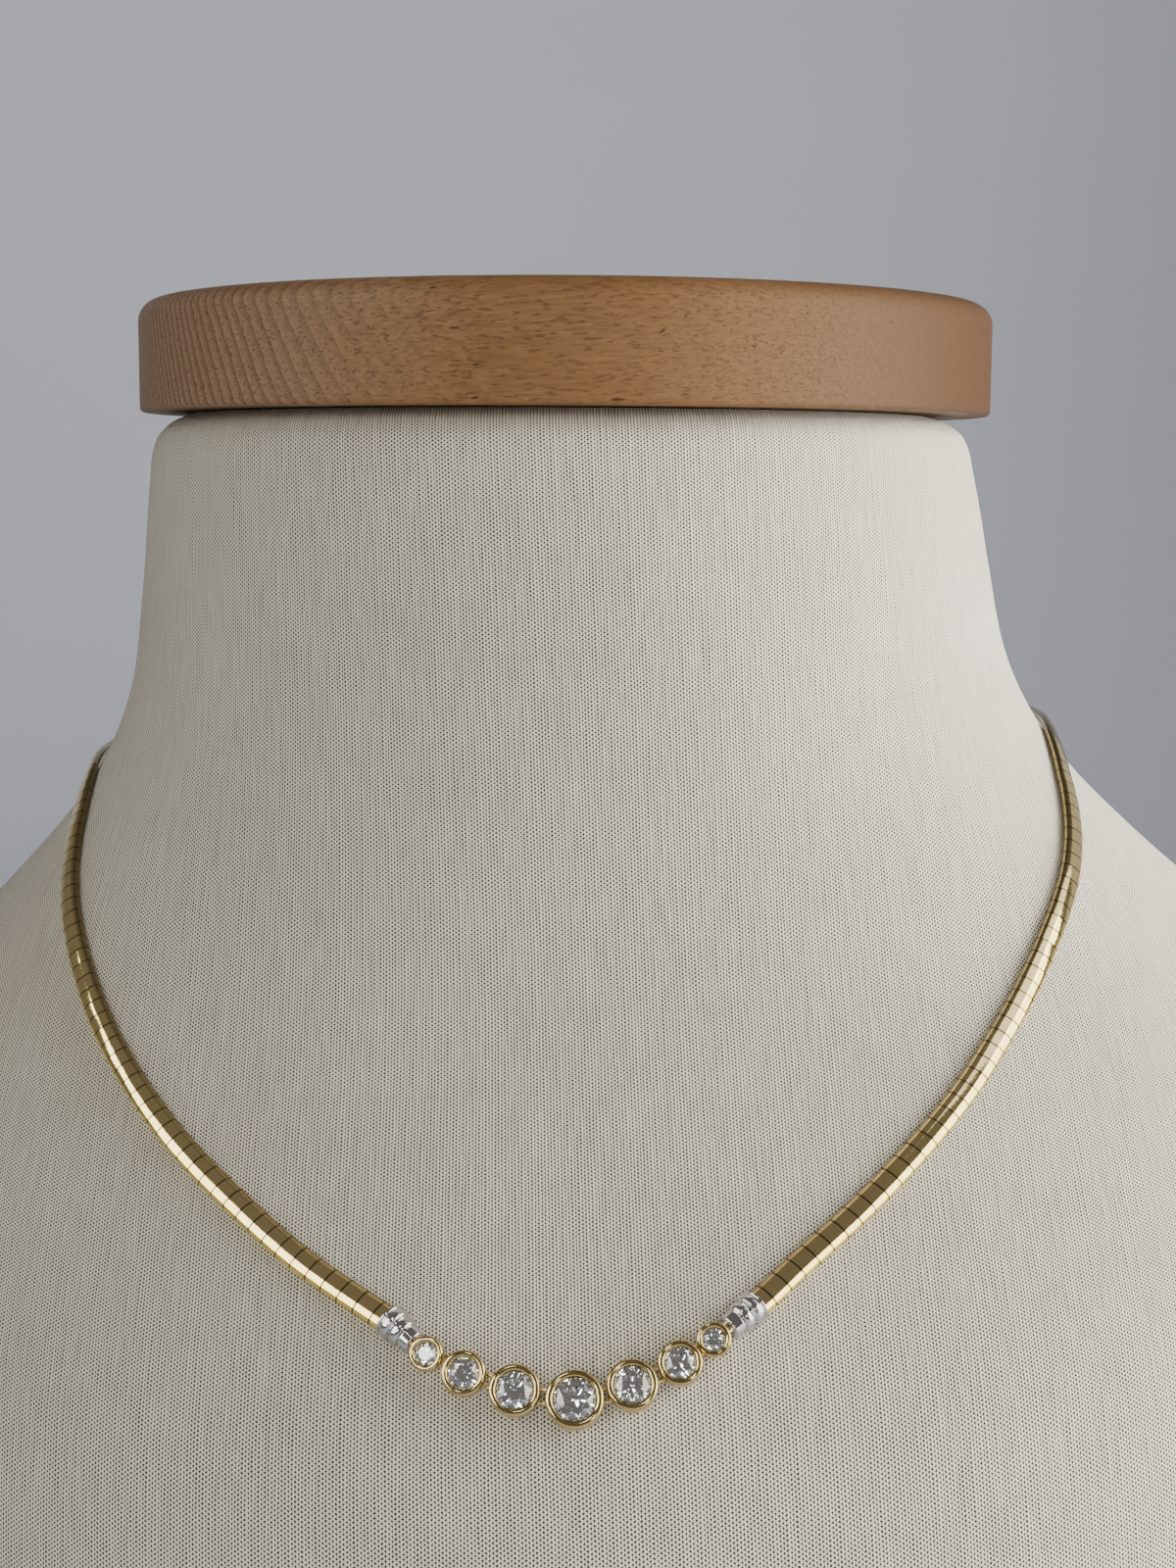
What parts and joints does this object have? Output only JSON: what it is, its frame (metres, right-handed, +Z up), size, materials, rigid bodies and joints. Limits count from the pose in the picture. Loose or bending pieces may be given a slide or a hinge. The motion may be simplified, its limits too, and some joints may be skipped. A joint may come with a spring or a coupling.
{
  "type": "omega necklace on a neck bust",
  "caption": "Gold omega chain necklace with graduated round stones in cup bezels, shown on a plain jersey-covered neck bust with a turned wooden cap.",
  "frame": {"origin": "centre of the bust's base, on the surface it stands on", "axes": "+Z up the neck, the bust faces -Y, +X to the right as seen from the front"},
  "size_m": [0.2248, 0.1876, 0.1659],
  "materials": {
    "jersey": "fine ribbed jersey, matte",
    "wood_cap": "satin",
    "yellow_gold": "polished",
    "white_gold": "polished",
    "clear_stone": "cut and polished"
  },
  "bodies": {
    "root": {"neck_bust": "jersey", "neck_cap": "wood_cap", "plates_left": "yellow_gold", "plates_right": "yellow_gold", "core_left": "yellow_gold", "core_right": "yellow_gold", "end_cap_left": "white_gold", "end_cap_right": "white_gold", "clasp": "yellow_gold", "bezel_1": "yellow_gold", "bezel_2": "yellow_gold", "bezel_3": "yellow_gold", "bezel_4": "yellow_gold", "bezel_5": "yellow_gold", "bezel_6": "yellow_gold", "bezel_7": "yellow_gold", "stone_1": "clear_stone", "stone_2": "clear_stone", "stone_3": "clear_stone", "stone_4": "clear_stone", "stone_5": "clear_stone", "stone_6": "clear_stone", "stone_7": "clear_stone", "link_1": "yellow_gold", "link_2": "yellow_gold", "link_3": "yellow_gold", "link_4": "yellow_gold", "link_5": "yellow_gold", "link_6": "yellow_gold", "link_7": "yellow_gold", "link_8": "yellow_gold"}
  },
  "joints": []
}
